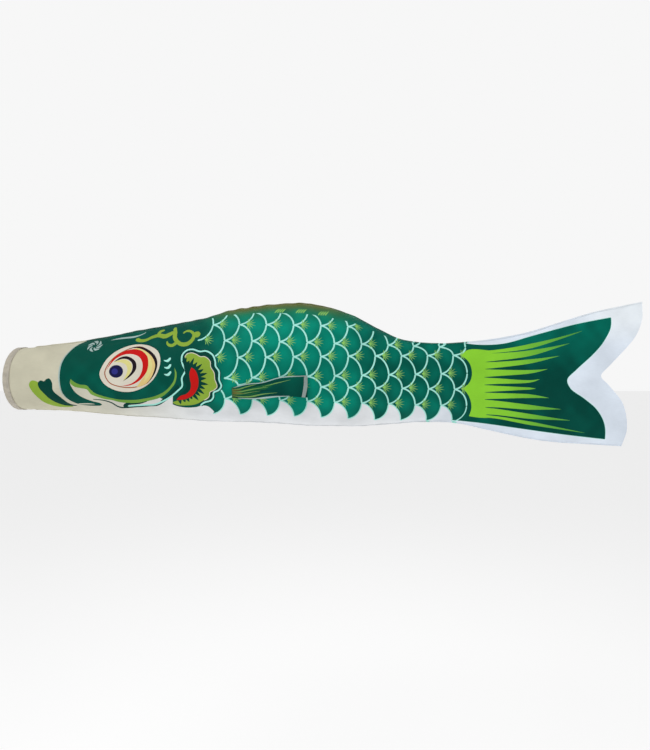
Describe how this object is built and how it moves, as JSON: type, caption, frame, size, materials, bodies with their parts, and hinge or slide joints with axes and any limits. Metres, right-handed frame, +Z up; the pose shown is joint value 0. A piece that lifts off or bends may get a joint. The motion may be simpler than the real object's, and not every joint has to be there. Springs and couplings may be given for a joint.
{
  "type": "carp streamer",
  "caption": "Inflated carp-shaped windsock of two sewn cloth flanks on a wire mouth hoop, with bridle loops, pectoral fins and a forked open tail.",
  "frame": {"origin": "middle of the mouth's front rim, where the three bridle lines pull", "axes": "+X from the mouth to the tail, +Z up towards the back seam, left flank at -Y and right flank at +Y"},
  "size_m": [1, 0.105, 0.2328],
  "materials": {
    "printed_cloth": "thin woven polyester with a light sheen, printed in greens, white, red and yellow",
    "sewn_ridge": "turned cloth edge with a row of stitches",
    "binding_tape": "matt grey woven tape",
    "hoop_wire": "drawn galvanised wire"
  },
  "bodies": {
    "head": {"mouth_binding": "binding_tape", "mouth_hoop": "hoop_wire", "hoop_ferrule": "hoop_wire", "bridle_loop_top": "binding_tape", "bridle_loop_left": "binding_tape", "bridle_loop_right": "binding_tape", "left_panel_head": "printed_cloth", "right_panel_head": "printed_cloth", "dorsal_seam_head": "sewn_ridge", "belly_seam_head": "sewn_ridge"},
    "chest": {"left_panel_chest": "printed_cloth", "right_panel_chest": "printed_cloth", "dorsal_seam_chest": "sewn_ridge", "belly_seam_chest": "sewn_ridge"},
    "trunk": {"left_panel_trunk": "printed_cloth", "right_panel_trunk": "printed_cloth", "dorsal_seam_trunk": "sewn_ridge", "belly_seam_trunk": "sewn_ridge"},
    "stalk": {"left_panel_stalk": "printed_cloth", "right_panel_stalk": "printed_cloth", "dorsal_seam_stalk": "sewn_ridge", "belly_seam_stalk": "sewn_ridge"},
    "tail": {"left_panel_tail": "printed_cloth", "right_panel_tail": "printed_cloth", "dorsal_seam_tail": "sewn_ridge", "belly_seam_tail": "sewn_ridge"},
    "left_fin": {"left_pectoral_fin": "printed_cloth"},
    "right_fin": {"right_pectoral_fin": "printed_cloth"}
  },
  "joints": [
    {"name": "chest_bend", "type": "hinge", "parent": "head", "child": "chest", "pos_m": [0.3, 0, 0], "axis": [0, 0, 1], "range_deg": [-12, 12]},
    {"name": "trunk_bend", "type": "hinge", "parent": "chest", "child": "trunk", "pos_m": [0.5, 0, 0], "axis": [0, 0, 1], "range_deg": [-15, 15]},
    {"name": "stalk_bend", "type": "hinge", "parent": "trunk", "child": "stalk", "pos_m": [0.645, 0, 0], "axis": [0, 0, 1], "range_deg": [-20, 20]},
    {"name": "tail_bend", "type": "hinge", "parent": "stalk", "child": "tail", "pos_m": [0.77, 0, 0], "axis": [0, 0, 1], "range_deg": [-25, 25]},
    {"name": "left_fin_hinge", "type": "hinge", "parent": "chest", "child": "left_fin", "pos_m": [0.3475, -0.046, -0.022], "axis": [0, 0, -1], "range_deg": [0, 65]},
    {"name": "right_fin_hinge", "type": "hinge", "parent": "chest", "child": "right_fin", "pos_m": [0.3475, 0.046, -0.022], "axis": [0, 0, 1], "range_deg": [0, 65]}
  ]
}
